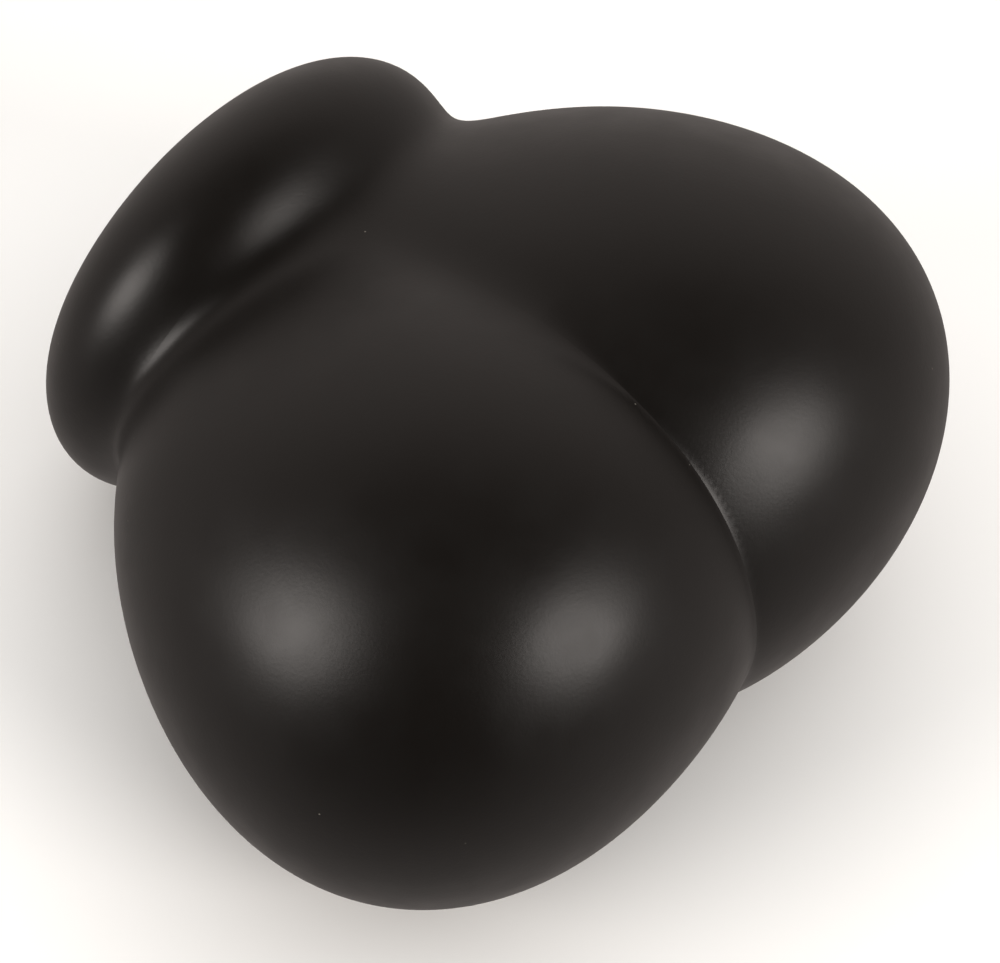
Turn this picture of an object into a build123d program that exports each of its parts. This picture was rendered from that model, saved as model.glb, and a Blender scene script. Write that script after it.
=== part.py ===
"""Two-lobed silicone sleeve: a hollow soft moulding with two egg-shaped lobes side by side and a thick
rolled ring round its mouth.

It lies on its back, with +Z up. X runs from the left lobe to the right one, and the mouth faces -Y,
tipped up a little. The origin is the centre of the bounding box's bottom face. Lengths are in mm.
"""

import os
from math import cos, hypot, radians, sin

from build123d import *

# Lobes: each is an egg whose widest circle stands across Y, blunt at the back and tapered at the front.
LOBE_HALF_WIDTH = 23.8
LOBE_HALF_HEIGHT = 22.7
LOBE_BLUNT = 20.6
LOBE_TAPER = 29.6
LOBE_SPACING = 24.3

# Mouth ring: an elliptical bead cut straight by the round mouth.
RING_OUTER_RADIUS = 20.6
RING_BEAD_DEPTH = 11.0
RING_HALF_WIDTH = 8.0
RING_AHEAD = 33.0
RING_TILT = 4.8
MOUTH_RADIUS = 10.5
MOUTH_LIP = 3.0

# Neck: an ellipsoid along the ring's axis that joins the ring to both lobes.
NECK_RADIUS = 16.0
NECK_HALF_LENGTH = 28.7
NECK_BEHIND_RING = 18.6
NECK_RISE = 1.2

# The collar runs from the seat behind the ring's middle to its own depth behind it.
RING_SEAT = 4.0
COLLAR_DEPTH = 14.0

WALL = 3.0

# Places that follow from the sizes above.
BEAD_CENTRE = RING_OUTER_RADIUS - RING_BEAD_DEPTH
TILT_COS = cos(radians(RING_TILT))
TILT_SIN = sin(radians(RING_TILT))
RING_Z = BEAD_CENTRE * TILT_COS + hypot(RING_BEAD_DEPTH * TILT_COS, RING_HALF_WIDTH * TILT_SIN)
RING_REACH = BEAD_CENTRE * TILT_SIN + hypot(RING_HALF_WIDTH * TILT_COS, RING_BEAD_DEPTH * TILT_SIN)
LOBE_Y = (RING_AHEAD + RING_REACH - LOBE_BLUNT) / 2
RING_Y = LOBE_Y - RING_AHEAD
MOUTH_AXIS = Vector(0, -TILT_COS, TILT_SIN)
RING_PLANE = Plane(origin=(0, RING_Y, RING_Z), x_dir=(-1, 0, 0), z_dir=MOUTH_AXIS)
CUT_SIZE = 200.0


def egg(inset):
    """The right lobe's egg, or its hollow when inset is the wall's thickness."""
    width = LOBE_HALF_WIDTH - inset
    flatten = (LOBE_HALF_HEIGHT - inset) / width
    blunt = EllipticalCenterArc((0, 0), width, LOBE_BLUNT - inset, 0, arc_size=90)
    taper = EllipticalCenterArc((0, 0), width, LOBE_TAPER - inset, 270, arc_size=90)
    axis = Line(blunt @ 1, taper @ 0)
    solid = scale(revolve(make_face([blunt, taper, axis]), Axis.Y), by=(1, 1, flatten))
    seam_inside = Rot(0, 180, 0)
    return Pos(LOBE_SPACING / 2, LOBE_Y, LOBE_HALF_HEIGHT) * seam_inside * solid


def neck(inset):
    """The neck's ellipsoid, or its hollow. The ring plane's own Y points down."""
    size = (NECK_RADIUS - inset, NECK_RADIUS - inset, NECK_HALF_LENGTH - inset)
    return RING_PLANE * Pos(0, -NECK_RISE, -NECK_BEHIND_RING) * scale(Sphere(1), by=size)


def bead():
    """The ring's elliptical bead, cut straight by the mouth, with its front inner edge rounded."""
    section = Pos(BEAD_CENTRE, 0) * Ellipse(RING_BEAD_DEPTH, RING_HALF_WIDTH)
    inside_mouth = Rectangle(CUT_SIZE, CUT_SIZE, align=(Align.MAX, Align.CENTER))
    section -= Pos(MOUTH_RADIUS, 0) * inside_mouth
    section = fillet(section.vertices().sort_by(Axis.Y)[-1], MOUTH_LIP)
    return RING_PLANE * revolve(Plane.XZ * section, Axis.Z)


def behind_ring(distance):
    """A block that holds everything more than distance behind the ring's middle."""
    block = Box(CUT_SIZE, CUT_SIZE, CUT_SIZE, align=(Align.CENTER, Align.CENTER, Align.MAX))
    return RING_PLANE * Pos(0, 0, -distance) * block


def right_half():
    """The right half of the whole moulding, cut at the middle plane."""
    passage = RING_PLANE * Cylinder(MOUTH_RADIUS, 2 * NECK_BEHIND_RING)
    outside = egg(0) + neck(0) + bead()
    hollow = egg(WALL) + neck(WALL) + passage
    right_side = Box(CUT_SIZE, CUT_SIZE, CUT_SIZE, align=(Align.MIN, Align.CENTER, Align.CENTER))
    return (outside - hollow) & right_side


def mouth_ring():
    """The thick rolled ring with the round mouth through it, flat at the back where it meets the collar."""
    return bead() - behind_ring(RING_SEAT)


def neck_collar(half):
    """The shoulder between the ring and the lobes."""
    right = (half & behind_ring(RING_SEAT)) - behind_ring(COLLAR_DEPTH)
    return right + mirror(right, Plane.YZ)


def lobe_wall(half):
    """The right lobe's hollow wall, behind the collar."""
    return half & behind_ring(COLLAR_DEPTH)


def main():
    os.makedirs("parts", exist_ok=True)
    half = right_half()
    right_lobe = lobe_wall(half)
    nodes = {
        "mouth_ring": mouth_ring(),
        "neck_collar": neck_collar(half),
        "left_lobe_wall": mirror(right_lobe, Plane.YZ),
        "right_lobe_wall": right_lobe,
    }
    for name, solid in nodes.items():
        export_step(solid, f"parts/{name}.step")


main()
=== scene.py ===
import math

import bpy
import numpy as np
from mathutils import Matrix, Vector


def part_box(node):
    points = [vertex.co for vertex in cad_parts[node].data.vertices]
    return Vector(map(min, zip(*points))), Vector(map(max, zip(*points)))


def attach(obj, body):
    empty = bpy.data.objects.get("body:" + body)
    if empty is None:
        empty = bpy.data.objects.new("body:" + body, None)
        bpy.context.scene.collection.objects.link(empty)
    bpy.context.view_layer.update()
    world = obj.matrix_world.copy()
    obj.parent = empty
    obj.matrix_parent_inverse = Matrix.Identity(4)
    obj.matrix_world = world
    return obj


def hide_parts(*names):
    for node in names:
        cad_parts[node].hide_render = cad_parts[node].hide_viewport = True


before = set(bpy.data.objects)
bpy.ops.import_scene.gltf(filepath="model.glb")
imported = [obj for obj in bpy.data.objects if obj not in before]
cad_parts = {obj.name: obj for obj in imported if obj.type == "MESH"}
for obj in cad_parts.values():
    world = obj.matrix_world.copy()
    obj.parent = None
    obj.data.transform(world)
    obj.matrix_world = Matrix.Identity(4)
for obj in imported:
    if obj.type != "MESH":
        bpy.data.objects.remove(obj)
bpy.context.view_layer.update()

mm = 0.001
ringLow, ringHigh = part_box("mouth_ring")
lobeLow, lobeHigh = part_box("right_lobe_wall")


def linear(hexColour):
    channels = [int(hexColour[i:i + 2], 16) / 255 for i in (1, 3, 5)]
    return [c / 12.92 if c <= 0.04045 else ((c + 0.055) / 1.055) ** 2.4 for c in channels] + [1.0]


def addNode(tree, kind, settings=None, **links):
    node = tree.nodes.new(kind)
    for name, value in (settings or {}).items():
        if name in node.inputs:
            node.inputs[name].default_value = value
        else:
            setattr(node, name, value)
    for name, source in links.items():
        tree.links.new(source, node.inputs[name.replace("_", " ")])
    return node


def deselectAll():
    bpy.ops.object.select_all(action="DESELECT")


def nameNew(name):
    piece = bpy.context.object
    piece.name = name
    piece.data.name = name
    return piece


def applyPlace(piece):
    deselectAll()
    piece.select_set(True)
    bpy.context.view_layer.objects.active = piece
    bpy.ops.object.transform_apply(location=True, rotation=True, scale=True)


def applyModifier(piece, kind, **settings):
    deselectAll()
    piece.select_set(True)
    bpy.context.view_layer.objects.active = piece
    modifier = piece.modifiers.new(kind.lower(), kind)
    for name, value in settings.items():
        setattr(modifier, name, value)
    bpy.ops.object.modifier_apply(modifier=modifier.name)


def combine(piece, other, operation):
    applyModifier(piece, "BOOLEAN", operation=operation, solver="MANIFOLD", object=other)
    bpy.data.objects.remove(other)


# the mouth ring's own frame: its middle, and +Y along its axis into the sleeve
ring = {
    "outerRadius": (ringHigh[0] - ringLow[0]) / 2,
    "beadDepth": 11.45 * mm,  # half the bead's section, across the ring
    "beadHalfWidth": 8.0 * mm,  # half the bead's section, along the ring's axis
    "tilt": math.radians(4.8),  # how far the mouth looks up
    "mouthRadius": 10.5 * mm,
    "frontToMiddle": 8.4 * mm,
    "lip": 3.0 * mm,  # how far the mouth flares at the front
    "lipSteps": 6,
    "sectionPoints": 128,
    "stepsAround": 192,
}
beadCentre = ring["outerRadius"] - ring["beadDepth"]
ringMiddle = Vector((0, ringLow[1] + ring["frontToMiddle"], (ringLow[2] + ringHigh[2]) / 2))
ringPlace = Matrix.Translation(ringMiddle) @ Matrix.Rotation(-ring["tilt"], 4, "X")

# two eggs side by side with their blunt ends at the back, and the throat that runs from them into the ring
lobe = {
    "spacing": 24.3 * mm,
    "halfLength": 25.1 * mm,
    "taper": 0.189,  # how much wider the blunt end is than the middle
    "wall": 3.0 * mm,
}
throat = {
    "halfWidth": 14.3 * mm,
    "halfHeight": 12.6 * mm,
    "halfLength": 28.7 * mm,
    "behindRing": 18.6 * mm,
    "raised": 4.5 * mm,
}
ballRings = 96


def addBall(name, place, size, taper=0.0):
    deselectAll()
    bpy.ops.mesh.primitive_uv_sphere_add(segments=2 * ballRings, ring_count=ballRings, radius=1)
    ball = nameNew(name)
    ball.scale = size
    deselectAll()
    ball.select_set(True)
    bpy.ops.object.transform_apply(location=False, rotation=False, scale=True)
    if taper:
        applyModifier(ball, "SIMPLE_DEFORM", deform_method="TAPER", deform_axis="Y", factor=2 * taper)
    ball.matrix_world = place
    applyPlace(ball)
    return ball


def lobeSizes(inset):
    taper = lobe["taper"]
    widestAt = (math.sqrt(1 + 8 * taper ** 2) - 1) / (4 * taper)
    bulge = (1 + taper * widestAt) * math.sqrt(1 - widestAt ** 2)
    halfWidth = (lobeHigh[0] - lobe["spacing"] / 2) / bulge
    halfHeight = (lobeHigh[2] - lobeLow[2]) / 2 / bulge
    return halfWidth - inset, lobe["halfLength"] - inset, halfHeight - inset


def lobePlace(side):
    return Matrix.Translation((side * lobe["spacing"] / 2, lobeHigh[1] - lobe["halfLength"],
                               (lobeLow[2] + lobeHigh[2]) / 2))


def throatSizes(inset):
    return throat["halfWidth"] - inset, throat["halfLength"] - inset, throat["halfHeight"] - inset


throatPlace = ringPlace @ Matrix.Translation((0, throat["behindRing"], throat["raised"]))


def addLobe(side, inset):
    return addBall("lobe", lobePlace(side), lobeSizes(inset), lobe["taper"])


def addThroat(inset):
    return addBall("throat", throatPlace, throatSizes(inset))


def addRing():
    deselectAll()
    bpy.ops.mesh.primitive_circle_add(vertices=ring["sectionPoints"], radius=1)
    bead = nameNew("bead")
    bpy.ops.object.mode_set(mode="EDIT")
    bpy.ops.mesh.select_all(action="SELECT")
    bpy.ops.transform.resize(value=(ring["beadDepth"], ring["beadHalfWidth"], 1))
    bpy.ops.transform.translate(value=(beadCentre, 0, 0))
    bpy.ops.mesh.bisect(plane_co=(ring["mouthRadius"] / 2, 0, 0), plane_no=(1, 0, 0), clear_inner=True)
    bpy.ops.mesh.edge_face_add()
    bpy.ops.mesh.select_all(action="SELECT")
    bpy.ops.mesh.spin(steps=ring["stepsAround"], angle=math.tau, center=(0, 0, 0), axis=(0, 1, 0))
    bpy.ops.mesh.select_all(action="SELECT")
    bpy.ops.mesh.remove_doubles(threshold=0.01 * mm)
    bpy.ops.mesh.normals_make_consistent(inside=False)
    bpy.ops.object.mode_set(mode="OBJECT")
    bead.matrix_world = ringPlace
    applyPlace(bead)
    return bead


def addMouth():
    # the round way in, which flares at the front by the lip's radius
    deselectAll()
    length = throat["behindRing"]
    front = ring["beadHalfWidth"] - ring["lip"]
    bpy.ops.mesh.primitive_cylinder_add(vertices=ring["stepsAround"], radius=ring["mouthRadius"],
                                        depth=length + front, rotation=(math.pi / 2, 0, 0),
                                        location=(0, (length - front) / 2, 0))
    mouth = nameNew("mouth")
    applyPlace(mouth)
    bpy.ops.object.mode_set(mode="EDIT")
    bpy.ops.mesh.select_all(action="DESELECT")
    bpy.ops.object.mode_set(mode="OBJECT")
    for face in mouth.data.polygons:
        face.select = face.normal.y < -0.9  # only the front end faces this way
    bpy.ops.object.mode_set(mode="EDIT")
    radius, depth = ring["mouthRadius"], 0
    for step in range(1, ring["lipSteps"] + 1):
        turn = math.pi / 2 * step / ring["lipSteps"]
        nextRadius = ring["mouthRadius"] + ring["lip"] * (1 - math.cos(turn))
        nextDepth = ring["lip"] * math.sin(turn)
        bpy.ops.mesh.extrude_region_move(TRANSFORM_OT_translate={"value": (0, depth - nextDepth, 0)})
        grow = nextRadius / radius
        bpy.ops.transform.resize(value=(grow, 1, grow), center_override=(0, 0, 0))
        radius, depth = nextRadius, nextDepth
    bpy.ops.mesh.extrude_region_move(TRANSFORM_OT_translate={"value": (0, -ring["lip"], 0)})
    bpy.ops.object.mode_set(mode="OBJECT")
    mouth.matrix_world = ringPlace
    applyPlace(mouth)
    return mouth


skin = {
    "voxel": 0.5 * mm,
    "smoothing": 0.5,  # how far one smoothing pass moves a point
    "softenAll": 6,  # smoothing passes all over
    "softenThroat": 120,  # more of them round the throat, inside and out
    "nearThroat": 1.15,  # full smoothing up to here, in throat sizes from the throat's middle
    "farFromThroat": 1.5,  # and none past here
    "creaseReach": (5.0 * mm, 14.0 * mm),  # between these places along Y, the lobes' crease sharpens
    "creaseBlend": (3.5 * mm, 0.3 * mm),  # how wide the lobes melt together at each of the two
    "throatBlend": 13.4 * mm,  # a broad swell, which the crease fades out in
    "ringBlend": 5.0 * mm,
    "sculptSteps": 6,  # steps that draw a point onto the melted surface
    "relax": 2,  # smoothing passes after them
}


def toPlace(points, place):
    inverse = np.array(place.inverted())
    return points @ inverse[:3, :3].T + inverse[:3, 3]


def ballDistance(points, sizes, taper=0.0):
    # how far points lie outside a ball of these sizes, true close to its surface
    along = points[:, 1] / sizes[1]
    widen = np.maximum(1 + taper * along, 0.2)  # stays above zero far past the tapered end
    across, up = points[:, 0] / sizes[0] / widen, points[:, 2] / sizes[2] / widen
    level = np.sqrt(across ** 2 + along ** 2 + up ** 2)
    slope = np.sqrt((across / sizes[0] / widen) ** 2 + (up / sizes[2] / widen) ** 2
                    + ((along - (across ** 2 + up ** 2) * taper / widen) / sizes[1]) ** 2)
    return (level - 1) * level / slope


def ringDistance(points):
    around = np.hypot(points[:, 0], points[:, 2]) - beadCentre
    across, along = around / ring["beadDepth"], points[:, 1] / ring["beadHalfWidth"]
    level = np.hypot(across, along)
    slope = np.hypot(across / ring["beadDepth"], along / ring["beadHalfWidth"])
    return (level - 1) * level / slope


def melt(first, second, width):
    # the nearer of two surfaces, melted together where they are about as near
    share = np.maximum(width - np.abs(first - second), 0) / width
    return np.minimum(first, second) - share ** 3 * width / 6


def mouldDistance(points):
    right, left = (ballDistance(toPlace(points, lobePlace(side)), lobeSizes(0), lobe["taper"])
                   for side in (1, -1))
    neck = ballDistance(toPlace(points, throatPlace), throatSizes(0))
    crease = np.interp(points[:, 1], skin["creaseReach"], skin["creaseBlend"])
    pouch = melt(melt(right, left, crease), neck, skin["throatBlend"])
    return melt(pouch, ringDistance(toPlace(points, ringPlace)), skin["ringBlend"])


def mouldSlope(points):
    step = 0.01 * mm
    parts = [mouldDistance(points + step * axis) - mouldDistance(points - step * axis) for axis in np.eye(3)]
    return np.stack(parts, axis=1) / (2 * step)


def sculptOutside(piece):
    # draws the outside onto the melted surface, and leaves the hollow and the mouth's rounded lip as cut
    count = len(piece.data.vertices)
    points, normals = np.empty(count * 3), np.empty(count * 3)
    piece.data.vertices.foreach_get("co", points)
    piece.data.vertices.foreach_get("normal", normals)
    points, normals = points.reshape(-1, 3), normals.reshape(-1, 3)
    fromRing = toPlace(points, ringPlace)
    inMouth = np.hypot(fromRing[:, 0], fromRing[:, 2]) < ring["mouthRadius"] + ring["lip"]
    inMouth &= fromRing[:, 1] < ring["beadHalfWidth"]
    outside = ((normals * mouldSlope(points)).sum(axis=1) > 0) & ~inMouth
    moved = points[outside]
    for step in range(skin["sculptSteps"]):
        slope = mouldSlope(moved)
        moved = moved - (mouldDistance(moved) / (slope ** 2).sum(axis=1))[:, None] * slope
    points[outside] = moved
    piece.data.vertices.foreach_set("co", points.ravel())
    piece.data.update()


def makeSkin():
    body = addLobe(1, 0)
    combine(body, addLobe(-1, 0), "UNION")
    combine(body, addThroat(0), "UNION")
    combine(body, addRing(), "UNION")
    hollow = addLobe(1, lobe["wall"])
    combine(hollow, addLobe(-1, lobe["wall"]), "UNION")
    combine(hollow, addThroat(lobe["wall"]), "UNION")
    combine(hollow, addMouth(), "UNION")
    combine(body, hollow, "DIFFERENCE")
    print("skin: booleans done,", len(body.data.vertices), "points")
    applyModifier(body, "REMESH", mode="VOXEL", voxel_size=skin["voxel"])
    group = body.vertex_groups.new(name="throat")
    toThroat = throatPlace.inverted()
    sizes = throatSizes(0)
    for point in body.data.vertices:
        level = Vector([part / size for part, size in zip(toThroat @ point.co, sizes)]).length
        weight = (skin["farFromThroat"] - level) / (skin["farFromThroat"] - skin["nearThroat"])
        if weight > 0:
            group.add([point.index], min(weight, 1), "REPLACE")
    applyModifier(body, "SMOOTH", factor=skin["smoothing"], iterations=skin["softenThroat"],
                  vertex_group=group.name)
    applyModifier(body, "SMOOTH", factor=skin["smoothing"], iterations=skin["softenAll"])
    body.vertex_groups.clear()
    sculptOutside(body)
    applyModifier(body, "SMOOTH", factor=skin["smoothing"], iterations=skin["relax"])
    deselectAll()
    body.select_set(True)
    bpy.ops.object.shade_smooth()
    print("skin: sculpted,", len(body.data.vertices), "points")
    return body


# the same skin is cut into the regions that the frame has, each of them a closed piece
cuts = {
    "seat": 4.0 * mm,  # the collar starts this far behind the ring's middle
    "collarEnd": 14.0 * mm,  # and ends this far behind it
    "tolerance": 0.001 * mm,  # points nearer than this to a cut count as on it
}


def cutAway(piece, point, keep):
    # clears what is not on the side that keep points to, and closes the cut
    deselectAll()
    piece.select_set(True)
    bpy.context.view_layer.objects.active = piece
    bpy.ops.object.mode_set(mode="EDIT")
    bpy.ops.mesh.select_all(action="SELECT")
    bpy.ops.mesh.bisect(plane_co=point, plane_no=keep, use_fill=True, clear_inner=True,
                        threshold=cuts["tolerance"])
    bpy.ops.mesh.mark_sharp()
    bpy.ops.object.mode_set(mode="OBJECT")


def cutPiece(body, name, planes):
    deselectAll()
    body.select_set(True)
    bpy.context.view_layer.objects.active = body
    bpy.ops.object.duplicate()
    piece = nameNew(name)
    for point, keep in planes:
        cutAway(piece, point, keep)
    sculptOutside(piece)  # once more, so that the lobes' crease is clean where the cut runs along it
    return piece


body = makeSkin()
backwards = ringPlace.to_3x3() @ Vector((0, 1, 0))
seatPoint = ringMiddle + backwards * cuts["seat"]
collarPoint = ringMiddle + backwards * cuts["collarEnd"]
sideways = Vector((1, 0, 0))
behindCollar = (collarPoint, backwards)
pieces = {
    "mouth_ring": cutPiece(body, "silicone_mouth_ring", [(seatPoint, -backwards)]),
    "neck_collar": cutPiece(body, "silicone_neck_collar",
                            [(seatPoint, backwards), (collarPoint, -backwards)]),
    "left_lobe_wall": cutPiece(body, "silicone_left_lobe", [behindCollar, (Vector(), -sideways)]),
    "right_lobe_wall": cutPiece(body, "silicone_right_lobe", [behindCollar, (Vector(), sideways)]),
}
bpy.data.objects.remove(body)
print("skin: cut into", len(pieces), "pieces")


def makeSilicone():
    # soft-touch silicone rubber, moulded black: a dull soft gloss with a fine grain and a little lint;
    # the real grain is too fine to show, so this one is drawn coarser
    silicone = {
        "colour": "#0c0907",
        "worn": "#0e0c0a",
        "lint": "#8a857c",
        "roughness": (0.34, 0.39),
        "ior": 1.41,
        "grain": 0.3 * mm,
        "grainHeight": 0.02 * mm,
        "grainStrength": 0.35,
        "handling": 5.0 * mm,  # the size of the patches that handling leaves
        "handlingLevels": (0.35, 0.65),  # the noise levels that take the two roughnesses
        "lintSpacing": 2.6 * mm,
        "lintSize": 0.09 * mm,
        "lintShare": 0.35,  # how many of the pattern's cells have a speck
        "lintCover": 0.8,
    }
    smoothest, roughest = silicone["roughness"]
    lowLevel, highLevel = silicone["handlingLevels"]
    material = bpy.data.materials.new("mouldedSiliconeRubber")
    material.use_nodes = True
    tree = material.node_tree
    tree.nodes.clear()
    place = addNode(tree, "ShaderNodeTexCoord")
    grain = addNode(tree, "ShaderNodeTexNoise",
                    {"Scale": 1 / silicone["grain"], "Detail": 2.0, "Roughness": 0.6},
                    Vector=place.outputs["Object"])
    handling = addNode(tree, "ShaderNodeTexNoise",
                       {"Scale": 1 / silicone["handling"], "Detail": 3.0, "Roughness": 0.55},
                       Vector=place.outputs["Object"])
    gloss = addNode(tree, "ShaderNodeMapRange",
                    {"From Min": lowLevel, "From Max": highLevel, "To Min": smoothest, "To Max": roughest},
                    Value=handling.outputs["Fac"])
    tint = addNode(tree, "ShaderNodeMix", {"data_type": "RGBA"})
    tint.inputs[6].default_value = linear(silicone["colour"])
    tint.inputs[7].default_value = linear(silicone["worn"])
    tree.links.new(handling.outputs["Fac"], tint.inputs[0])
    # lint: a few specks of dust, one in some of the cells of a loose pattern
    cells = addNode(tree, "ShaderNodeTexVoronoi", {"Scale": 1 / silicone["lintSpacing"]},
                    Vector=place.outputs["Object"])
    near = addNode(tree, "ShaderNodeMapRange",
                   {"From Min": silicone["lintSize"] / silicone["lintSpacing"], "From Max": 0,
                    "To Max": silicone["lintCover"]},
                   Value=cells.outputs["Distance"])
    chance = addNode(tree, "ShaderNodeSeparateColor", Color=cells.outputs["Color"])
    chosen = addNode(tree, "ShaderNodeMath", {"operation": "LESS_THAN"})
    chosen.inputs[1].default_value = silicone["lintShare"]
    tree.links.new(chance.outputs["Red"], chosen.inputs[0])
    lint = addNode(tree, "ShaderNodeMath", {"operation": "MULTIPLY"})
    tree.links.new(near.outputs["Result"], lint.inputs[0])
    tree.links.new(chosen.outputs[0], lint.inputs[1])
    dusted = addNode(tree, "ShaderNodeMix", {"data_type": "RGBA"})
    dusted.inputs[7].default_value = linear(silicone["lint"])
    tree.links.new(lint.outputs[0], dusted.inputs[0])
    tree.links.new(tint.outputs[2], dusted.inputs[6])
    bump = addNode(tree, "ShaderNodeBump",
                   {"Strength": silicone["grainStrength"], "Distance": silicone["grainHeight"]},
                   Height=grain.outputs["Fac"])
    shader = addNode(tree, "ShaderNodeBsdfPrincipled", {"IOR": silicone["ior"]},
                     Base_Color=dusted.outputs[2], Roughness=gloss.outputs["Result"],
                     Normal=bump.outputs["Normal"])
    addNode(tree, "ShaderNodeOutputMaterial", Surface=shader.outputs["BSDF"])
    return material


silicone = makeSilicone()
for node, piece in pieces.items():
    piece.data.materials.clear()
    piece.data.materials.append(silicone)
    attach(piece, "root")
    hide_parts(node)
print("silicone: put on")

# floor, light and camera
studio = {
    "floor": 3.0,
    "floorColour": "#f4f4f2",
    "floorRoughness": 0.9,
    "floorSpecular": 0.1,
}
deselectAll()
bpy.ops.mesh.primitive_plane_add(size=studio["floor"])
floor = nameNew("floor")
paper = bpy.data.materials.new("paleStudioPaper")
paper.use_nodes = True
paperShader = paper.node_tree.nodes["Principled BSDF"]
paperShader.inputs["Base Color"].default_value = linear(studio["floorColour"])
paperShader.inputs["Roughness"].default_value = studio["floorRoughness"]
paperShader.inputs["Specular IOR Level"].default_value = studio["floorSpecular"]
floor.data.materials.append(paper)
floor.visible_glossy = False  # a cheat: glossy rays see the room below instead, so the underside stays dark

view = {
    "aim": Vector((0.24, 4.53, 20.3)) * mm,
    "azimuth": math.radians(122.12),
    "elevation": math.radians(56.89),
    "roll": math.radians(11.2),
    "distance": 270.0 * mm,
    "lens": 124.4,
    "sensorWidth": 36.0,
    "nearest": 10.0 * mm,
}
outwards = Vector((math.sin(view["azimuth"]) * math.cos(view["elevation"]),
                   -math.cos(view["azimuth"]) * math.cos(view["elevation"]), math.sin(view["elevation"])))
bpy.ops.object.camera_add(location=view["aim"] + outwards * view["distance"])
camera = bpy.context.object
turn = outwards.to_track_quat("Z", "Y").to_matrix().to_4x4() @ Matrix.Rotation(view["roll"], 4, "Z")
camera.rotation_euler = turn.to_euler()
camera.data.lens = view["lens"]
camera.data.sensor_width = view["sensorWidth"]
camera.data.clip_start = view["nearest"]
bpy.context.scene.camera = camera
bpy.context.scene.view_settings.view_transform = "Standard"

# a soft room, brightest past the ring and dim over the lobes' far ends
room = {
    "colour": "#f6ebe5",
    "bright": 0.75,
    "dull": 0.42,
    "brightTowards": (-0.59, -0.60, 0.54),
    "brightFrom": 0.2,  # a cosine, from which it starts to brighten
    "dimTowards": (0.56, 0.39, 0.73),
    "dimFrom": math.cos(math.radians(100)),
    "dimTo": math.cos(math.radians(35)),
    "dimmest": 0.12,
}
world = bpy.data.worlds.new("softRoom")
world.use_nodes = True
tree = world.node_tree
tree.nodes.clear()
direction = addNode(tree, "ShaderNodeTexCoord")


def facing(towards, ends):
    along = addNode(tree, "ShaderNodeVectorMath", {"operation": "DOT_PRODUCT"})
    along.inputs[1].default_value = Vector(towards).normalized()
    tree.links.new(direction.outputs["Generated"], along.inputs[0])
    fade = addNode(tree, "ShaderNodeMapRange", {"interpolation_type": "SMOOTHSTEP", **ends},
                   Value=along.outputs["Value"])
    return fade.outputs["Result"]


level = facing(room["brightTowards"], {"From Min": room["brightFrom"], "From Max": 1,
                                       "To Min": room["dull"], "To Max": room["bright"]})
shade = facing(room["dimTowards"], {"From Min": room["dimFrom"], "From Max": room["dimTo"],
                                    "To Min": 1, "To Max": room["dimmest"]})
strength = addNode(tree, "ShaderNodeMath", {"operation": "MULTIPLY"})
tree.links.new(level, strength.inputs[0])
tree.links.new(shade, strength.inputs[1])
sky = addNode(tree, "ShaderNodeBackground", {"Color": linear(room["colour"])}, Strength=strength.outputs[0])
addNode(tree, "ShaderNodeOutputWorld", Surface=sky.outputs["Background"])
bpy.context.scene.world = world

# two softboxes, one each side, whose long sides point at the camera
softboxes = {
    "towards": {"leftSoftbox": (0.84, -0.41, 0.38), "rightSoftbox": (-0.11, 0.89, 0.45)},
    "size": (0.6, 0.85),
    "distance": 1.2,
    "power": 8.4,
    "colour": "#fff8f3",
}
for name, place in softboxes["towards"].items():
    towards = Vector(place).normalized()
    along = (outwards - outwards.dot(towards) * towards).normalized()
    bpy.ops.object.light_add(type="AREA", location=towards * softboxes["distance"])
    light = bpy.context.object
    light.name = name
    light.data.shape = "ELLIPSE"
    light.data.size, light.data.size_y = softboxes["size"]
    light.data.energy = softboxes["power"]
    light.data.color = linear(softboxes["colour"])[:3]
    light.rotation_euler = Matrix((along.cross(towards), along, towards)).transposed().to_euler()
# a ceiling that whitens the floor and leaves no reflection
ceiling = {"height": 2.0, "size": 3.0, "power": 45.0}
bpy.ops.object.light_add(type="AREA", location=(0, 0, ceiling["height"]))
light = bpy.context.object
light.name = "ceilingBounce"
light.data.size = ceiling["size"]
light.data.energy = ceiling["power"]
light.visible_glossy = False
print("studio: set")
